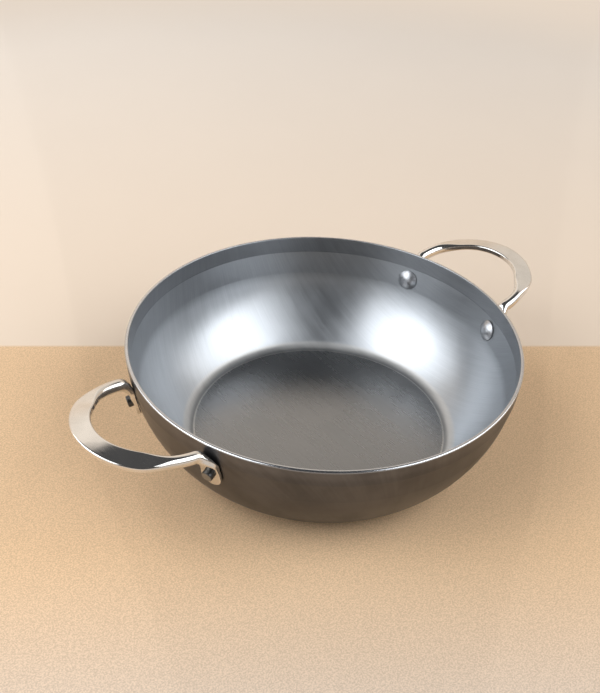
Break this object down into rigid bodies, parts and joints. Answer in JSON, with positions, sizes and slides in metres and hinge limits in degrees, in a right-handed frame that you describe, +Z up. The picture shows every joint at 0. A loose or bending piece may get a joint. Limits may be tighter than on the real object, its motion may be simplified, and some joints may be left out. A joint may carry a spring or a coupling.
{
  "type": "country frying pan",
  "caption": "Deep round frying pan in satin carbon steel, with flared curved walls, a flat base and polished loop handles riveted to opposite sides of the rim.",
  "frame": {"origin": "middle of the underside of the flat base, where the pan stands", "axes": "+Z up through the middle of the pan; +X towards the right handle and -X towards the left handle; -Y towards the front"},
  "size_m": [0.3932, 0.28, 0.0878],
  "materials": {
    "pan_steel": "bare carbon steel with a satin finish, ground in one direction before it was pressed",
    "handle_steel": "polished stainless steel",
    "rivet_steel": "smooth plain steel"
  },
  "bodies": {
    "root": {"pan_body": "pan_steel", "handle_left": "handle_steel", "handle_right": "handle_steel", "rivet_left_back": "rivet_steel", "rivet_left_front": "rivet_steel", "rivet_right_back": "rivet_steel", "rivet_right_front": "rivet_steel"}
  },
  "joints": []
}
